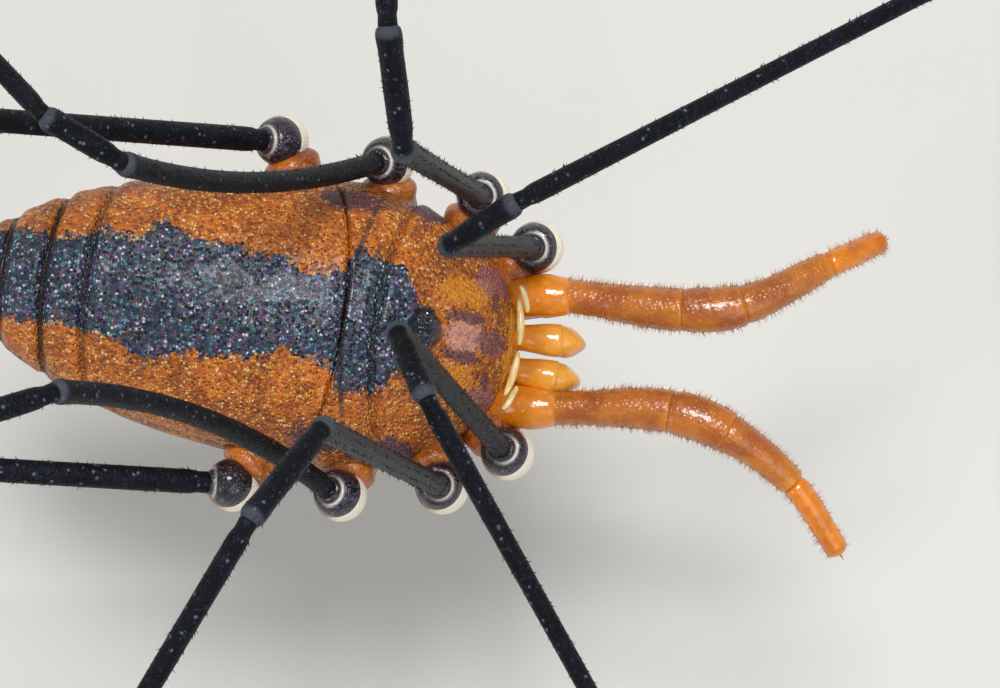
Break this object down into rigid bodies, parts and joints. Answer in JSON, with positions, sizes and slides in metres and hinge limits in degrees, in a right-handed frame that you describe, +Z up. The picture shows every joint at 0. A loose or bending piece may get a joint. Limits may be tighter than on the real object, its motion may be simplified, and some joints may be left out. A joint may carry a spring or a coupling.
{
  "type": "harvestman",
  "caption": "Life-size still model of a long-legged male harvestman: a small oval orange body with a dark saddle, forward palps and thin black legs standing on the floor.",
  "frame": {"origin": "on the floor, below the middle of the whole animal's box", "axes": "+X to the head, +Y to the animal's left, +Z up"},
  "size_m": [0.0616, 0.0766, 0.0183],
  "materials": {
    "front_shell": "fine-grained orange cuticle, satin",
    "back_shell": "granular orange cuticle with a blue-black saddle",
    "russet": "reddish-orange cuticle with short pale bristles",
    "amber": "smooth, slightly translucent yellow-orange cuticle",
    "hip_gloss": "glossy brown-black cuticle with cream rims",
    "leg_black": "black cuticle with fine spinules, satin",
    "black_gloss": "glossy black",
    "eye": "clear glossy black lens"
  },
  "bodies": {
    "root": {"prosoma": "front_shell", "opisthosoma": "back_shell", "ocularium": "black_gloss", "eye_left": "eye", "eye_right": "eye", "chelicera_left_base": "amber", "chelicera_left_hand": "amber", "palp_left_trochanter": "amber", "palp_left_femur": "russet", "palp_left_patella": "russet", "palp_left_tibia": "russet", "palp_left_tarsus": "amber", "chelicera_right_base": "amber", "chelicera_right_hand": "amber", "palp_right_trochanter": "amber", "palp_right_femur": "russet", "palp_right_patella": "russet", "palp_right_tibia": "russet", "palp_right_tarsus": "amber", "leg_1_left_trochanter": "hip_gloss", "leg_1_left_femur": "leg_black", "leg_1_left_patella": "leg_black", "leg_1_left_tibia": "leg_black", "leg_1_left_foot": "leg_black", "leg_1_right_trochanter": "hip_gloss", "leg_1_right_femur": "leg_black", "leg_1_right_patella": "leg_black", "leg_1_right_tibia": "leg_black", "leg_1_right_foot": "leg_black", "leg_2_left_trochanter": "hip_gloss", "leg_2_left_femur": "leg_black", "leg_2_left_patella": "leg_black", "leg_2_left_tibia": "leg_black", "leg_2_left_foot": "leg_black", "leg_2_right_trochanter": "hip_gloss", "leg_2_right_femur": "leg_black", "leg_2_right_patella": "leg_black", "leg_2_right_tibia": "leg_black", "leg_2_right_foot": "leg_black", "leg_3_left_trochanter": "hip_gloss", "leg_3_left_femur": "leg_black", "leg_3_left_patella": "leg_black", "leg_3_left_tibia": "leg_black", "leg_3_left_foot": "leg_black", "leg_3_right_trochanter": "hip_gloss", "leg_3_right_femur": "leg_black", "leg_3_right_patella": "leg_black", "leg_3_right_tibia": "leg_black", "leg_3_right_foot": "leg_black", "leg_4_left_trochanter": "hip_gloss", "leg_4_left_femur": "leg_black", "leg_4_left_patella": "leg_black", "leg_4_left_tibia": "leg_black", "leg_4_left_foot": "leg_black", "leg_4_right_trochanter": "hip_gloss", "leg_4_right_femur": "leg_black", "leg_4_right_patella": "leg_black", "leg_4_right_tibia": "leg_black", "leg_4_right_foot": "leg_black"}
  },
  "joints": []
}
